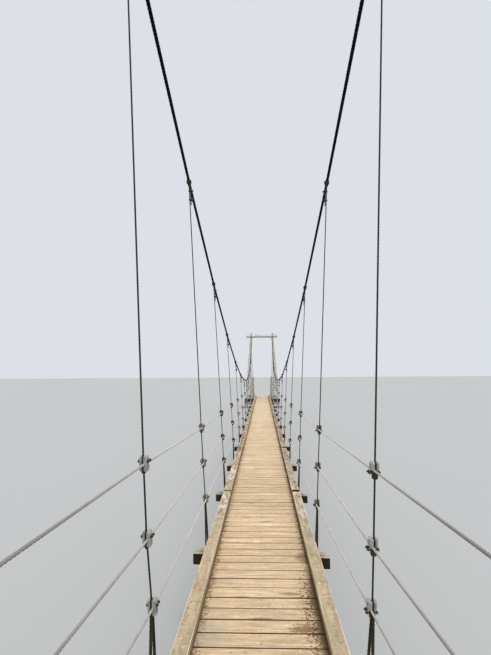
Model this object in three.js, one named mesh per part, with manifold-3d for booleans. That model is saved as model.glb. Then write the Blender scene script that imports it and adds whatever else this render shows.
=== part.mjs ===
// Suspension footbridge: a narrow plank walkway hung from two main cables.
// Millimetres. X runs across the bridge, Y along it, Z up. The origin is on
// the ground under the middle of the span. Left is -X, near is -Y.

import * as THREE from 'three';
import { mergeVertices } from 'three/addons/utils/BufferGeometryUtils.js';
import Module from 'manifold-3d';

const wasm = await Module();
wasm.setup();

// Span and hangers
const bay = 1980;
const bays = 15;
const span = bay * bays;
const baysPerSection = 3;
const cut = 0.3;

// Walkway
const deckTop = 700;
const boardThickness = 38;
const boardLength = 914;
const deckOverrun = 75;
const kerbSize = 89;
const joistWidth = 38;
const joistDepth = 89;
const joistOffset = 330;
const joistLap = 1;
const transomWidth = 140;
const transomDepth = 89;
const transomLength = 1156;

// Towers, given at the near end and at the far end
const beamTopAboveDeck = { near: 4700, far: 3900 };
const beamDepth = 200;
const beamWidth = 190;
const beamLength = 1950;
const legSize = 150;
const legSpreadFoot = 1020;
const sillDepth = 190;
const sillWidth = 140;
const sillLength = 2200;
const railPostSize = 140;
const railPostOut = 570;
const railPostAboveDeck = 1250;
const footingSize = 450;
const footingHeight = 150;

// Main cables
const cableRadius = 12.5;
const cableLow = 1233;
const cableLowAt = 963;
const cableSteepness = 0.0141e-3;
const saddleBend = 120;
const saddleRise = 75;
const saddleWidth = 70;
const saddleHalfLength = 88;
const saddleArcSteps = 6;

// Anchor blocks
const anchorWidth = 700;
const anchorLength = 900;
const anchorHeight = 600;
const anchorFront = 18600;
const anchorSpread = 830;
const cableEntryHeight = 380;
const cableEntryDepth = 220;

// Hangers and the three rail cables on each side
const ropeRadius = 5;
const ropeSides = 4;
const cableSides = 8;
const hangerFoot = 461;
const hangerLean = 0.0514;
const loopSpread = 470;
const clampLength = 60;
const clampWidth = 34;
const clampHeight = 52;
const clipSize = 26;
const clipHeight = 44;
const rails = [
  { middle: 889, rise: 242 },
  { middle: 613, rise: 167 },
  { middle: 326, rise: 174 },
];

const timber = material('#cbb28e', 0.82, 0);
const weatheredTimber = material('#d9cbb8', 0.85, 0);
const kerbTimber = material('#b8a98b', 0.85, 0);
const darkTimber = material('#8d7455', 0.85, 0);
const darkCable = material('#2b2f36', 0.55, 0.7);
const rope = material('#9a968c', 0.5, 0.8);
const steel = material('#8b8d8e', 0.45, 0.85);
const concrete = material('#a9a59b', 0.92, 0);

const bridge = new THREE.Group();
const boardBottom = deckTop - boardThickness;
const joistBottom = boardBottom - joistDepth;
const transomBottom = boardBottom - transomDepth;
const stations = Array.from({ length: bays - 1 }, (_, i) => -span / 2 + bay * (i + 1));
const ends = [
  { name: 'near', toward: -1, beamTop: deckTop + beamTopAboveDeck.near },
  { name: 'far', toward: 1, beamTop: deckTop + beamTopAboveDeck.far },
];
const sides = [
  { name: 'left', across: -1 },
  { name: 'right', across: 1 },
];

function material(colour, roughness, metalness) {
  return new THREE.MeshStandardMaterial({ color: colour, roughness, metalness });
}

function add(name, geometry, finish) {
  const mesh = new THREE.Mesh(geometry, finish);
  mesh.name = name;
  bridge.add(mesh);
}

function block(x0, x1, y0, y1, z0, z1) {
  const geometry = new THREE.BoxGeometry(x1 - x0, y1 - y0, z1 - z0);
  return geometry.translate((x0 + x1) / 2, (y0 + y1) / 2, (z0 + z1) / 2);
}

// A straight-sided route whose sections stand halfway between the runs on each side of a bend.
class Route extends THREE.Curve {
  constructor(points) {
    super();
    this.points = points;
  }

  getPoint(t) {
    const place = t * (this.points.length - 1);
    const start = Math.min(Math.floor(place), this.points.length - 2);
    return this.points[start].clone().lerp(this.points[start + 1], place - start);
  }

  getPointAt(u) {
    return this.getPoint(u);
  }

  getTangentAt(u) {
    const last = this.points.length - 1;
    const at = Math.round(u * last);
    const tangent = new THREE.Vector3();
    if (at > 0) tangent.add(this.points[at].clone().sub(this.points[at - 1]).normalize());
    if (at < last) tangent.add(this.points[at + 1].clone().sub(this.points[at]).normalize());
    return tangent.normalize();
  }

  getSpacedPoints() {
    return this.points.map((point) => point.clone());
  }
}

// A many-sided section with the same area as the round one.
function polygon(roundRadius, sideCount) {
  const step = (2 * Math.PI) / sideCount;
  const radius = roundRadius * Math.sqrt(step / Math.sin(step));
  const corners = Array.from({ length: sideCount }, (_, i) => {
    const angle = step * (i + 0.5);
    return new THREE.Vector2(radius * Math.cos(angle), radius * Math.sin(angle));
  });
  return new THREE.Shape(corners);
}

function tube(points, radius, sideCount) {
  return new THREE.ExtrudeGeometry(polygon(radius, sideCount), {
    steps: points.length - 1,
    bevelEnabled: false,
    extrudePath: new Route(points),
  });
}

function solid(geometry) {
  const bare = geometry.clone();
  bare.deleteAttribute('normal');
  bare.deleteAttribute('uv');
  const merged = mergeVertices(bare, 1e-3);
  return new wasm.Manifold(new wasm.Mesh({
    numProp: 3,
    vertProperties: new Float32Array(merged.attributes.position.array),
    triVerts: new Uint32Array(merged.index.array),
  }));
}

function shaped(body) {
  const mesh = body.getMesh();
  const geometry = new THREE.BufferGeometry();
  geometry.setAttribute('position', new THREE.BufferAttribute(mesh.vertProperties, 3));
  geometry.setIndex(new THREE.BufferAttribute(mesh.triVerts, 1));
  geometry.computeVertexNormals();
  return geometry;
}

function joined(geometries) {
  return geometries.map(solid).reduce((whole, piece) => whole.add(piece));
}

// Height of the main cable over the ground, and how far out a hanger stands at a height.
function cableHeight(y) {
  return deckTop + cableLow + cableSteepness * (y - cableLowAt) ** 2;
}

function hangerOut(z) {
  return hangerFoot + hangerLean * (z - deckTop);
}

function railHeight(rail, y) {
  return deckTop + rail.middle + rail.rise * ((2 * y) / span) ** 2;
}

// A leg leans inward, with level cuts at its head and foot.
function towerLeg(side, end) {
  const half = legSize / 2;
  const head = end.beamTop - beamDepth;
  const outline = new THREE.Shape([
    new THREE.Vector2(side.across * (legSpreadFoot - half), footingHeight),
    new THREE.Vector2(side.across * (legSpreadFoot + half), footingHeight),
    new THREE.Vector2(side.across * (saddleOut(end) + half), head),
    new THREE.Vector2(side.across * (saddleOut(end) - half), head),
  ]);
  const geometry = new THREE.ExtrudeGeometry(outline, { depth: 2 * half, bevelEnabled: false });
  geometry.rotateX(Math.PI / 2);
  return geometry.translate(0, (end.toward * span) / 2 + half, 0);
}

// The route over one saddle, from the span towards the anchor.
function saddleRoute(end) {
  const centreZ = end.beamTop + saddleRise - saddleBend;
  const towerY = (end.toward * span) / 2;
  const lastHanger = end.toward * (span / 2 - bay);
  const toSpan = Math.atan2(end.beamTop - cableHeight(lastHanger), bay);
  const anchorRun = anchorFront - span / 2;
  const toAnchor = Math.atan2(end.beamTop - cableEntryHeight, anchorRun);
  return Array.from({ length: saddleArcSteps + 1 }, (_, i) => {
    const angle = -toSpan + ((toSpan + toAnchor) * i) / saddleArcSteps;
    const y = towerY + end.toward * saddleBend * Math.sin(angle);
    return new THREE.Vector3(saddleOut(end), y, centreZ + saddleBend * Math.cos(angle));
  });
}

function saddleOut(end) {
  return hangerOut(end.beamTop + saddleRise);
}

function anchorPoint(end, extra) {
  const depth = cableEntryDepth + extra;
  const slope = (end.beamTop - cableEntryHeight) / (anchorFront - span / 2);
  const y = end.toward * (anchorFront + depth);
  return new THREE.Vector3(anchorSpread, y, cableEntryHeight - slope * depth);
}

function mainCable(side, extra = 0) {
  const [near, far] = ends;
  const route = [
    anchorPoint(near, extra),
    ...saddleRoute(near).reverse(),
    ...stations.map((y) => new THREE.Vector3(hangerOut(cableHeight(y)), y, cableHeight(y))),
    ...saddleRoute(far),
    anchorPoint(far, extra),
  ];
  route.forEach((point) => point.setX(point.x * side.across));
  return tube(route, cableRadius + extra, cableSides);
}

// Walkway: board sections with their joists, the transoms below and the kerbs on top.
function deckSection(index) {
  const firstBay = index * baysPerSection;
  const start = -span / 2 + firstBay * bay - (index === 0 ? deckOverrun : 0);
  const lastSection = firstBay + baysPerSection === bays;
  const end = -span / 2 + (firstBay + baysPerSection) * bay + (lastSection ? deckOverrun : 0);
  const pieces = [block(-boardLength / 2, boardLength / 2, start, end, boardBottom, deckTop)];
  for (let n = firstBay; n < firstBay + baysPerSection; n += 1) {
    const bayStart = -span / 2 + n * bay;
    const gap = transomWidth / 2 + cut;
    const y0 = n === 0 ? bayStart - deckOverrun : bayStart + gap;
    const y1 = n === bays - 1 ? bayStart + bay + deckOverrun : bayStart + bay - gap;
    for (const x of [-joistOffset, 0, joistOffset]) {
      pieces.push(block(x - joistWidth / 2, x + joistWidth / 2, y0, y1, joistBottom, boardBottom + joistLap));
    }
  }
  return shaped(joined(pieces));
}

function transom(y, extra = 0) {
  const half = transomWidth / 2 + extra;
  const reach = transomLength / 2 + extra;
  return block(-reach, reach, y - half, y + half, transomBottom - extra, boardBottom + extra);
}

function kerb(side) {
  const outer = boardLength / 2;
  const inner = outer - kerbSize;
  const reach = span / 2 + deckOverrun;
  const [x0, x1] = side.across < 0 ? [-outer, -inner] : [inner, outer];
  return block(x0, x1, -reach, reach, deckTop, deckTop + kerbSize);
}

// One hanger: a clamp under the main cable, a single rope down to the lowest
// rail cable, and from there a rope loop round the transom.
function hanger(side, y) {
  const top = cableHeight(y);
  const fork = railHeight(rails[2], y);
  const out = (z) => side.across * hangerOut(z);
  const clamp = new THREE.BoxGeometry(clampWidth, clampLength, clampHeight);
  clamp.rotateX(Math.atan(2 * cableSteepness * (y - cableLowAt)));
  clamp.translate(out(top), y, top);
  const clip = new THREE.BoxGeometry(clipSize, clipSize, clipHeight);
  clip.translate(out(fork), y, fork);
  const rod = [new THREE.Vector3(out(top), y, top), new THREE.Vector3(out(fork), y, fork)];
  const foot = side.across * loopSpread;
  const reach = transomWidth / 2 + ropeRadius + cut;
  const under = transomBottom - ropeRadius - cut;
  const loop = [
    new THREE.Vector3(out(fork), y, fork),
    new THREE.Vector3(foot, y - reach, boardBottom),
    new THREE.Vector3(foot, y - reach, under + ropeRadius),
    new THREE.Vector3(foot, y - reach + ropeRadius, under),
    new THREE.Vector3(foot, y + reach - ropeRadius, under),
    new THREE.Vector3(foot, y + reach, under + ropeRadius),
    new THREE.Vector3(foot, y + reach, boardBottom),
    new THREE.Vector3(out(fork), y, fork),
  ];
  return [clamp, clip, tube(rod, ropeRadius, ropeSides), tube(loop, ropeRadius, ropeSides)];
}

// A rail post stands outside the deck's end, against the sill beam's outer face.
function railPost(side, end, extra = 0) {
  const half = railPostSize / 2 + extra;
  const y = (end.toward * (span - legSize + railPostSize)) / 2;
  const x = side.across * railPostOut;
  return block(x - half, x + half, y - half, y + half, 0, deckTop + railPostAboveDeck);
}

// Past the last hanger a rail cable runs level to its post.
function railCable(side, rail) {
  const endPoint = (end) => {
    const y = (end.toward * span) / 2;
    const z = railHeight(rail, stations[0]);
    return new THREE.Vector3(side.across * railPostOut, y, z);
  };
  const middle = stations.map((y) => {
    const z = railHeight(rail, y);
    return new THREE.Vector3(side.across * hangerOut(z), y, z);
  });
  return tube([endPoint(ends[0]), ...middle, endPoint(ends[1])], ropeRadius, ropeSides);
}

// The side net: hangers and rail cables fixed to each other where they cross.
function sideNet(side) {
  const pieces = [
    ...stations.flatMap((y) => hanger(side, y)),
    ...rails.map((rail) => railCable(side, rail)),
  ];
  let net = joined(pieces).subtract(solid(mainCable(side, cut)));
  for (const y of stations) net = net.subtract(solid(transom(y, cut)));
  for (const end of ends) net = net.subtract(solid(railPost(side, end, cut)));
  return shaped(net);
}

// A saddle is a round-backed block with a groove that the main cable lies in.
function saddle(side, end) {
  const centreZ = end.beamTop + saddleRise - saddleBend;
  const edge = Math.acos(saddleHalfLength / saddleBend);
  const outline = new THREE.Shape();
  outline.moveTo(-saddleHalfLength, end.beamTop - centreZ);
  outline.lineTo(saddleHalfLength, end.beamTop - centreZ);
  outline.lineTo(saddleHalfLength, saddleBend * Math.sin(edge));
  outline.absarc(0, 0, saddleBend, edge, Math.PI - edge, false);
  const geometry = new THREE.ExtrudeGeometry(outline, {
    depth: saddleWidth,
    bevelEnabled: false,
    curveSegments: saddleArcSteps,
  });
  geometry.rotateX(Math.PI / 2).rotateZ(Math.PI / 2);
  geometry.translate(side.across * saddleOut(end) - saddleWidth / 2, (end.toward * span) / 2, centreZ);
  return shaped(solid(geometry).subtract(solid(mainCable(side, cut))));
}

function anchorBlock(side, end) {
  const centre = side.across * anchorSpread;
  const front = end.toward * anchorFront;
  const back = end.toward * (anchorFront + anchorLength);
  const mass = block(
    centre - anchorWidth / 2,
    centre + anchorWidth / 2,
    Math.min(front, back),
    Math.max(front, back),
    0,
    anchorHeight,
  );
  return shaped(solid(mass).subtract(solid(mainCable(side, cut))));
}

for (let i = 0; i < bays / baysPerSection; i += 1) {
  add(`deck_section_${i + 1}`, deckSection(i), timber);
}
stations.forEach((y, i) => add(`transom_${String(i + 1).padStart(2, '0')}`, transom(y), darkTimber));
for (const side of sides) {
  add(`kerb_${side.name}`, kerb(side), kerbTimber);
  add(`main_cable_${side.name}`, mainCable(side), darkCable);
  add(`hanger_net_${side.name}`, sideNet(side), rope);
}
for (const end of ends) {
  const towerY = (end.toward * span) / 2;
  const halfBeam = beamWidth / 2;
  const halfFooting = footingSize / 2;
  const sillFace = towerY - (end.toward * legSize) / 2;
  const sillBack = sillFace - end.toward * sillWidth;
  add(
    `crossbeam_${end.name}`,
    block(
      -beamLength / 2,
      beamLength / 2,
      towerY - halfBeam,
      towerY + halfBeam,
      end.beamTop - beamDepth,
      end.beamTop,
    ),
    weatheredTimber,
  );
  add(
    `sill_beam_${end.name}`,
    block(
      -sillLength / 2,
      sillLength / 2,
      Math.min(sillFace, sillBack),
      Math.max(sillFace, sillBack),
      joistBottom - sillDepth,
      joistBottom,
    ),
    darkTimber,
  );
  for (const side of sides) {
    const x = side.across * legSpreadFoot;
    add(`tower_leg_${end.name}_${side.name}`, towerLeg(side, end), weatheredTimber);
    add(`rail_post_${end.name}_${side.name}`, railPost(side, end), weatheredTimber);
    add(
      `footing_${end.name}_${side.name}`,
      block(x - halfFooting, x + halfFooting, towerY - halfFooting, towerY + halfFooting, 0, footingHeight),
      concrete,
    );
    add(`saddle_${end.name}_${side.name}`, saddle(side, end), steel);
    add(`anchor_block_${end.name}_${side.name}`, anchorBlock(side, end), concrete);
  }
}

export default bridge;
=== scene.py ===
import math

import bpy
import numpy as np
from mathutils import Matrix


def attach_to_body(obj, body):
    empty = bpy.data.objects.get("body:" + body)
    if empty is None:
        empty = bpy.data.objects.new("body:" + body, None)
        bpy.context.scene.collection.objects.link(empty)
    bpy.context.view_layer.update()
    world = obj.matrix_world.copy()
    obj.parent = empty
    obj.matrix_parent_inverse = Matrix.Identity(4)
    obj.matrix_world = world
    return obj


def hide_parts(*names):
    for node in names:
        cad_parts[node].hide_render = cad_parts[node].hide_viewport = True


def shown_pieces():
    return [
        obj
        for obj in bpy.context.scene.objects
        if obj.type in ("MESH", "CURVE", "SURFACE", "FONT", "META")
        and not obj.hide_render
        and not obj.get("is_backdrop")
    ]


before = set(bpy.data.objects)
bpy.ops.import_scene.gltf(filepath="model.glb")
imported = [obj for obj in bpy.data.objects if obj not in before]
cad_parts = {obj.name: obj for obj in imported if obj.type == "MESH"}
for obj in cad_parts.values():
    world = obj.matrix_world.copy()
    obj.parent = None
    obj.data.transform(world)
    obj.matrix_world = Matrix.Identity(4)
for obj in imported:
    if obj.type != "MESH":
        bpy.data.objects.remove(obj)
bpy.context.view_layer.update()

dice = np.random.default_rng(27)
print("frame loaded:", len(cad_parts), "nodes")

# Metres. X runs across the bridge, Y along it, Z up.
layout = dict(
    bay=1.98, bays=15, deckTop=0.7, boardThickness=0.038, deckEnd=14.925,
    cableLow=1.233, cableLowAt=0.963,       # lowest point of the main cable above the deck
    cableSteepness=0.0141,
    hangerFoot=0.461, hangerLean=0.0514,    # how far out a hanger stands at deck level
    rails=((0.889, 0.262), (0.613, 0.187), (0.326, 0.174)),     # height amid the span, rise
    towerAt=14.85, beamTop=dict(near=5.4, far=4.6),
)
span = layout["bay"] * layout["bays"]
deckTop, deckEnd = layout["deckTop"], layout["deckEnd"]
towerAt, beamTops = layout["towerAt"], layout["beamTop"]
boardBottom = deckTop - layout["boardThickness"]
stations = [layout["bay"] * n - span / 2 for n in range(1, layout["bays"])]
ends = (("near", -1), ("far", 1))
sides = (("left", -1), ("right", 1))
upright = dict(along=(0, 0, 1), up=(0, 1, 0))


def cableHeight(y):
    lowest = deckTop + layout["cableLow"]
    return lowest + layout["cableSteepness"] * (y - layout["cableLowAt"]) ** 2


def hangerOut(z):
    return layout["hangerFoot"] + layout["hangerLean"] * (z - deckTop)


def railHeight(rail, y):
    middle, rise = rail
    return deckTop + middle + rise * (2 * y / span) ** 2


def unit(vector):
    vector = np.asarray(vector, float)
    return vector / np.linalg.norm(vector)


# Forms, each its points and faces, gather in piles by name, and each pile becomes one piece.
piles = {}


def addToPile(name, form, grain=None, tone=0.5):
    empty = {"points": [], "faces": [], "grain": [], "tone": [], "count": 0}
    pile = piles.setdefault(name, empty)
    points, faces = form
    pile["faces"] += [np.asarray(group) + pile["count"] for group in faces]
    pile["points"].append(points)
    pile["grain"].append(points if grain is None else grain)
    pile["tone"].append(np.broadcast_to(tone, len(points)))
    pile["count"] += len(points)


# Faces that meet at less than the given angle, in degrees, blend smoothly.
def makePiece(name, finish, standsFor=(), smoothTo=0):
    pile = piles[name]
    points = np.concatenate(pile["points"]).tolist()
    faces = [face for group in pile["faces"] for face in group.tolist()]
    mesh = bpy.data.meshes.new(name)
    mesh.from_pydata(points, [], faces, shade_flat=not smoothTo)
    for key, kind, field in (("grain", "FLOAT_VECTOR", "vector"), ("tone", "FLOAT", "value")):
        values = np.concatenate(pile[key]).astype(np.float32).ravel()
        mesh.attributes.new(key, kind, "POINT").data.foreach_set(field, values)
    if 0 < smoothTo < 180:
        mesh.set_sharp_from_angle(angle=math.radians(smoothTo))
    mesh.materials.append(finish)
    piece = bpy.data.objects.new(name, mesh)
    bpy.context.scene.collection.objects.link(piece)
    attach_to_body(piece, "root")
    if standsFor:
        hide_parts(*standsFor)


def placed(form, centre, along=(1, 0, 0), up=(0, 0, 1)):
    along = unit(along)
    across = unit(np.cross(up, along))
    points, faces = form
    return points @ np.array([along, across, np.cross(along, across)]) + centre, faces


def addPlaced(name, form, centre, along=(1, 0, 0), up=(0, 0, 1), tone=0.5):
    addToPile(name, placed(form, centre, along, up), tone=tone)


# Every member is sawn from its own log, so its grain starts somewhere else.
log = dict(lengthwise=(0, 60), sideways=(-0.1, 0.1), fromPith=(0.03, 0.2))


def addMember(name, form, centre, along=(1, 0, 0), up=(0, 0, 1), shade=None, lean=0.0):
    start = [dice.uniform(*log["lengthwise"]), dice.uniform(*log["sideways"])]
    start.append(dice.choice((-1, 1)) * dice.uniform(*log["fromPith"]))
    points, faces = placed(form, centre, along, up)
    if lean:
        points = points + np.outer(points[:, 2] - centre[2], (lean, 0, 0))
    addToPile(name, (points, faces), form[0] + start, dice.uniform() if shade is None else shade)


def ringForm(rings):
    count, around = rings.shape[:2]
    start = np.arange(count - 1)[:, None] * around
    here = start + np.arange(around)
    beside = start + (np.arange(around) + 1) % around
    quads = np.stack([here, beside, beside + around, here + around], -1).reshape(-1, 4)
    firstCap = np.arange(around)[::-1][None]
    lastCap = np.arange((count - 1) * around, count * around)[None]
    return rings.reshape(-1, 3), [quads, firstCap, lastCap]


def softSection(width, depth, edge):
    corners = []
    for quarter, (toY, toZ) in enumerate(((1, 1), (-1, 1), (-1, -1), (1, -1))):
        for turn in (0, 45, 90):
            angle = math.radians(90 * quarter + turn)
            y = toY * (width / 2 - edge) + edge * math.cos(angle)
            corners.append((y, toZ * (depth / 2 - edge) + edge * math.sin(angle)))
    return np.array(corners)


# A sawn or cast member along X with eased edges and rings that wander, for uneven faces.
def stick(length, width, depth, edge, rings, wander=0.0):
    inner = np.linspace(edge - length / 2, length / 2 - edge, rings)
    stops = np.concatenate([[-length / 2], inner, [length / 2]])
    whole = softSection(width, depth, edge)
    small = softSection(width - 1.4 * edge, depth - 1.4 * edge, edge / 2)
    sections = np.stack([small] + [whole] * rings + [small])
    corners = len(whole)
    if wander:
        drift = dice.normal(0, wander, (rings, 1, 2))
        drift = drift + dice.normal(0, wander / 2, (rings, corners, 2))
        sections[1:-1] += drift
        sections[0] += drift[0]
        sections[-1] += drift[-1]
    along = np.broadcast_to(stops[:, None, None], (rings + 2, corners, 1))
    return ringForm(np.concatenate([along, sections], 2))


# A stick of a part's measures, or of those given. Faces are edge, rings and wander.
def stickOf(part, **own):
    part = {**part, **own}
    return stick(part["length"], part["width"], part["depth"], *part["faces"])


# A turned form about X. The outline is a list of (place along X, radius).
def turned(outline, around, start=0.0):
    angles = start + np.arange(around) * 2 * math.pi / around
    rings = [
        np.stack([np.full(around, x), radius * np.cos(angles), radius * np.sin(angles)], -1)
        for x, radius in outline
    ]
    return ringForm(np.stack(rings))


def distances(route):
    return np.concatenate([[0], np.cumsum(np.linalg.norm(np.diff(route, axis=0), axis=1))])


def resample(route, step):
    route = np.asarray(route, float)
    passed = distances(route)
    stops = np.linspace(0, passed[-1], max(2, round(passed[-1] / step) + 1))
    return np.stack([np.interp(stops, passed, route[:, axis]) for axis in range(3)], 1)


def roundCorners(route, radius, steps=4):
    most = 0.45                 # share of a straight that its bend may take
    route = [np.asarray(point, float) for point in route]
    made = [route[0]]
    for before, corner, after in zip(route, route[1:], route[2:]):
        toBefore, toAfter = before - corner, after - corner
        reach = min(radius, np.linalg.norm(toBefore) * most, np.linalg.norm(toAfter) * most)
        first, last = corner + unit(toBefore) * reach, corner + unit(toAfter) * reach
        for t in np.linspace(0, 1, steps):
            made.append((1 - t) ** 2 * first + 2 * t * (1 - t) * corner + t * t * last)
    return made + [route[-1]]


# Sweeps a section, given by its radii, along a route without twisting it.
def sweep(route, radii, turn=0):
    route = np.asarray(route, float)
    tangents = np.gradient(route, axis=0)
    tangents /= np.linalg.norm(tangents, axis=1)[:, None]
    side = np.cross(tangents[0], (0.3, 0.5, 0.8))       # any direction square to the route
    fromAxis = []
    for tangent in tangents:
        side = unit(side - (side @ tangent) * tangent)
        fromAxis.append(side)
    fromAxis = np.array(fromAxis)
    other = np.cross(tangents, fromAxis)
    angles = np.arange(len(radii)) * 2 * math.pi / len(radii)
    angles = (angles[None] + turn)[..., None]
    outward = np.cos(angles) * fromAxis[:, None] + np.sin(angles) * other[:, None]
    return ringForm(route[:, None] + outward * np.asarray(radii)[:, None])


# Laid wire rope. Crest and groove are shares of its radius.
laid = dict(strands=6, crest=1.03, groove=0.78)


# The tone of a rope is 1 on its strands and 0 between them.
def addRope(name, route, rope):
    rope = {**laid, **rope}
    route = resample(route, rope["step"])
    strands = np.arange(2 * rope["strands"]) % 2 == 0
    radii = np.where(strands, rope["crest"], rope["groove"]) * rope["diameter"] / 2
    form = sweep(route, radii, turn=distances(route)[:, None] * 2 * math.pi / rope["lay"])
    addToPile(name, form, tone=np.tile(strands.astype(float), len(route)))


# The noise behind each layer: stretch, scale, detail, roughness. Some set their own scale.
patterns = dict(
    streaks=((1.0, 22, 22), 2.6, 6.0, 0.66), blotches=((1.0, 3.5, 3.5), 3.2, 3.0, 0.55),
    fibres=((5, 160, 160), 3.0, 3.0, 0.55), flecks=((5, 34, 34), 2.6, 3.0, 0.6),
    checks=((0.8, 75, 75), 2.4, 2.0, 0.5), patches=((1.0, 0.45, 1.0), 4.2, 3.0, 0.6),
    specks=((1, 1, 1), None, 4.0, 0.7), weathering=((1, 0.2, 1), None, 3.0, 0.6),
    crumbs=((1, 1, 1), 58, 2.0, 0.6), tarnish=((1, 1, 1), 18, 4.0, 0.6),
    wires=((1, 1, 1), 420, 2.0, 0.55), rust=((1, 1, 0.4), 24, 4.0, 0.65),
    clouds=((1, 1, 1), 3.5, 6.0, 0.65), grit=((1, 1, 1), 90, 4.0, 0.6),
)
# A fade is the two values that a layer sets in between, or one for each colour of a ramp.
fades = dict(
    wood=(0.28, 0.5, 0.72), tones=(0.0, 0.5, 1.0), worn=(0.35, 0.6, 0.9, 0.97),
    strands=(0.15, 0.85), flakes=(0.0, 1.0), concrete=(0.3, 0.7), soil=(0.3, 0.7),
    rings=(0.0, 0.55), blotches=(0.3, 0.62), flecks=(0.36, 0.56), tone=(0.0, 1.0),
    knots=(0.05, 0.13), checks=(0.6, 0.66), patches=(0.5, 0.62), crumbs=(0.35, 0.7),
    weathering=(0.46, 0.6), stains=(0.55, 0.95), sides=(0.35, 0.8), ends=(0.3, 0.6),
    insideKerb=(0.372, 0.38), tarnish=(0.35, 0.62), rust=(0.58, 0.72),
    grit=(0.35, 0.6), damp=(0.02, 0.16), pits=(0.05, 0.14), broad=(0.3, 0.7),
)


def attach(value, socket):
    if isinstance(value, bpy.types.NodeSocket):
        socket.id_data.links.new(value, socket)
    else:
        socket.default_value = value


# A new node joins the tree of the node or socket that it comes after.
def put(after, kind, inputs=None, **settings):
    made = after.id_data.nodes.new("ShaderNode" + kind)
    for key, value in settings.items():
        setattr(made, key, value)
    for key, value in (inputs or {}).items():
        attach(value, made.inputs[key])
    return made


def ramp(factor, fade, *colours):
    made = put(factor, "ValToRGB", {"Fac": factor})
    elements = made.color_ramp.elements
    while len(elements) < len(colours):
        elements.new(1.0)
    for element, position, colour in zip(elements, fades.get(fade, fade), colours):
        element.position = position
        element.color = (*colour, 1)
    return made.outputs["Color"]


def grey(level):
    return (level, level, level)


def mixColours(mode, share, first, second):
    inputs = {0: share, 6: first, 7: second}
    return put(first, "Mix", inputs, data_type="RGBA", blend_type=mode).outputs[2]


def calc(operation, *values):
    return put(values[0], "Math", dict(enumerate(values)), operation=operation).outputs[0]


def axisOf(vector, axis):
    return put(vector, "SeparateXYZ", {"Vector": vector}).outputs[axis]


def fromMiddle(vector, axis):
    return calc("ABSOLUTE", axisOf(vector, axis))


def readTone(after):
    return put(after, "Attribute", attribute_name="tone").outputs["Fac"]


def patternOf(vector, name, stretch=None, scale=None):
    usualStretch, usualScale, detail, roughness = patterns[name]
    moved = put(vector, "Mapping", {"Vector": vector, "Scale": stretch or usualStretch})
    return put(vector, "TexNoise", {
        "Vector": moved.outputs[0], "Scale": scale or usualScale,
        "Detail": detail, "Roughness": roughness,
    }).outputs["Fac"]


def mapped(value, fade, atLow, atHigh):
    low, high = fades.get(fade, fade)
    return put(value, "MapRange", {
        "Value": value, "From Min": low, "From Max": high, "To Min": atLow, "To Max": atHigh,
    }).outputs["Result"]


def rising(value, fade, strength=1.0):
    return mapped(value, fade, 0.0, strength)


def falling(value, fade, strength=1.0):
    return mapped(value, fade, strength, 0.0)


# Lays a colour over what is under it, as far as the share says.
def cover(under, share, colour):
    colour = (*colour, 1) if isinstance(colour, tuple) else colour
    return mixColours("MIX", share, under, colour)


# Lays a layer, as (strength, colour), over what is under it while a value passes a fade.
def overlay(under, value, fade, layer, way=rising):
    strength, colour = layer
    return cover(under, way(value, fade, strength), colour)


# Shades a colour where a value is low.
def darken(under, value, fade, shade, share=1.0):
    return mixColours("MULTIPLY", share, under, ramp(value, fade, shade, grey(1.0)))


def startFinish(name, look):
    finish = bpy.data.materials.new(name)
    finish.use_nodes = True
    shader = finish.node_tree.nodes["Principled BSDF"]
    for key, socket in (("roughness", "Roughness"), ("metallic", "Metallic"),
                        ("specular", "Specular IOR Level")):
        if key in look:
            shader.inputs[socket].default_value = look[key]
    return finish, shader


# Bare sawn wood: streaks, rings, blotches, flecks, the member's own tone, and knots.
def sawnWood(grain, look, streaks, blotches, rings):
    colour = ramp(streaks, "wood", look["dark"], look["middle"], look["pale"])
    colour = darken(colour, rings, "rings", grey(1 - look["ringDepth"]))
    colour = darken(colour, blotches, "blotches", look["blotch"])
    colour = darken(colour, patternOf(grain, "flecks"), "flecks", grey(1 - look["flecks"]))
    tones = ramp(readTone(grain), "tones", grey(1 - look["spread"]), grey(0.97), grey(1.0))
    colour = mixColours("MULTIPLY", 1.0, colour, tones)
    cells = put(grain, "Mapping", {"Vector": grain, "Scale": (1.5, 7, 7)}).outputs[0]
    knots = put(grain, "TexVoronoi", {"Vector": cells, "Scale": 1.0}).outputs["Distance"]
    return overlay(colour, knots, "knots", look["knots"], falling)


# Bleaching, part of it painted sheen, drying cracks, patches, specks, cloudy layers and pale ends.
def weatherWood(colour, grain, spot, look):
    if "bleachAndSheen" in look:
        fade, strengths, bleachColour = look["bleachAndSheen"]
        lengthwise = rising(axisOf(spot, "Y"), look["bleachSpan"])
        colour = cover(colour, ramp(lengthwise, fade, *map(grey, strengths)), bleachColour)
    for name, vector in (("checks", grain), ("patches", spot)):
        if name in look:
            colour = overlay(colour, patternOf(vector, name), name, look[name])
    for scale, fade, layer in look.get("specks", ()):
        colour = overlay(colour, patternOf(spot, "specks", scale=scale), fade, layer)
    for scale, fade, (strength, cloudColour) in look.get("weathering", ()):
        # cloudy layers that set in somewhere along the span
        clouds = patternOf(spot, "weathering", scale=scale)
        setIn = rising(axisOf(spot, "Y"), fade, strength)
        share = calc("MULTIPLY", setIn, rising(clouds, "weathering"))
        colour = cover(colour, share, cloudColour)
    if "paleEnds" in look:
        colour = overlay(colour, fromMiddle(spot, "X"), *look["paleEnds"])
    return colour


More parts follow.
